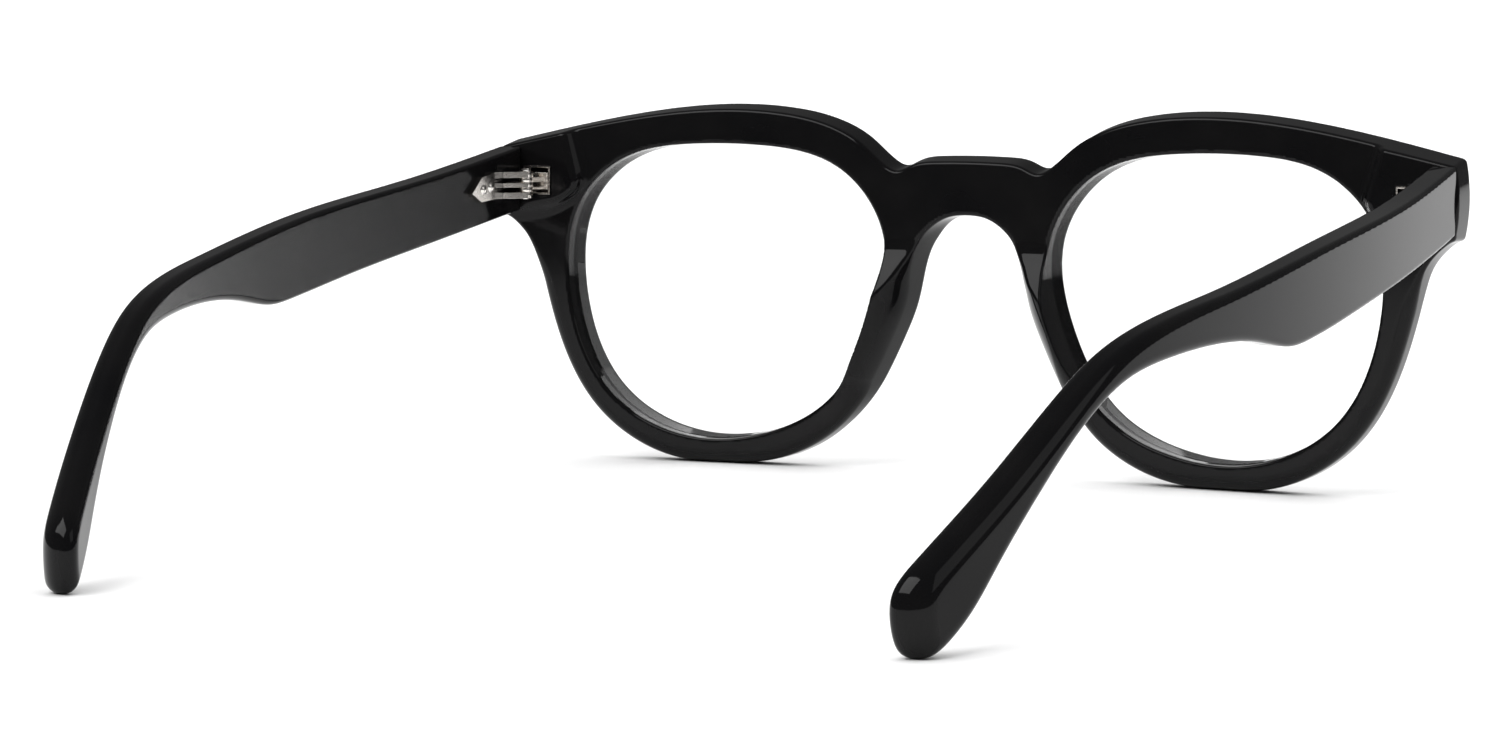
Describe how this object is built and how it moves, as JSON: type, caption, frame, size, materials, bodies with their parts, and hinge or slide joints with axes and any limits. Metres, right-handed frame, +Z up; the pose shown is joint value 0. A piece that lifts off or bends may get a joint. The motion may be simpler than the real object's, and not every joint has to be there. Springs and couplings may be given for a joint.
{
  "type": "eyeglasses",
  "caption": "Thick rounded acetate eyeglasses with clear lenses, glued nose pads and folding temples on barrel hinges with vertical screws.",
  "frame": {"origin": "on the floor, under the middle of the bounding box, with the temples open", "axes": "+X to the wearer's left, +Y backwards towards the ears, +Z up; the front leans back slightly because the eyeglasses stand on the rim bottoms and the temple tips"},
  "size_m": [0.1492, 0.1468, 0.0519],
  "materials": {
    "acetate": "glossy black, polished",
    "lens": "clear; whether it is coated is not known",
    "hinge_metal": "warm silver-grey metal, satin; alloy not known",
    "hinge_plate": "silver-grey metal with a bright rim; alloy not known",
    "screw": "silver-grey metal; alloy not known",
    "rivet": "silver-grey metal, domed and bright; alloy not known",
    "wire": "bare metal; not visible, so assumed"
  },
  "bodies": {
    "front": {"front_frame": "acetate", "lens_left": "lens", "nose_pad_left": "acetate", "hinge_bezel_left": "hinge_plate", "front_hinge_leaf_left": "hinge_metal", "lens_right": "lens", "nose_pad_right": "acetate", "hinge_bezel_right": "hinge_plate", "front_hinge_leaf_right": "hinge_metal"},
    "temple_left": {"temple_left": "acetate", "core_wire_left": "wire", "temple_hinge_leaf_left": "hinge_metal", "temple_rivets_left": "rivet", "hinge_screw_left": "screw"},
    "temple_right": {"temple_right": "acetate", "core_wire_right": "wire", "temple_hinge_leaf_right": "hinge_metal", "temple_rivets_right": "rivet", "hinge_screw_right": "screw"}
  },
  "joints": [
    {"name": "left_temple_fold", "type": "hinge", "parent": "front", "child": "temple_left", "pos_m": [0.0672, -0.06206, 0.03986], "axis": [0, -0.0377, 0.9993], "range_deg": [0, 86]},
    {"name": "right_temple_fold", "type": "hinge", "parent": "front", "child": "temple_right", "pos_m": [-0.0672, -0.06206, 0.03986], "axis": [0, 0.0377, -0.9993], "range_deg": [0, 80]}
  ]
}
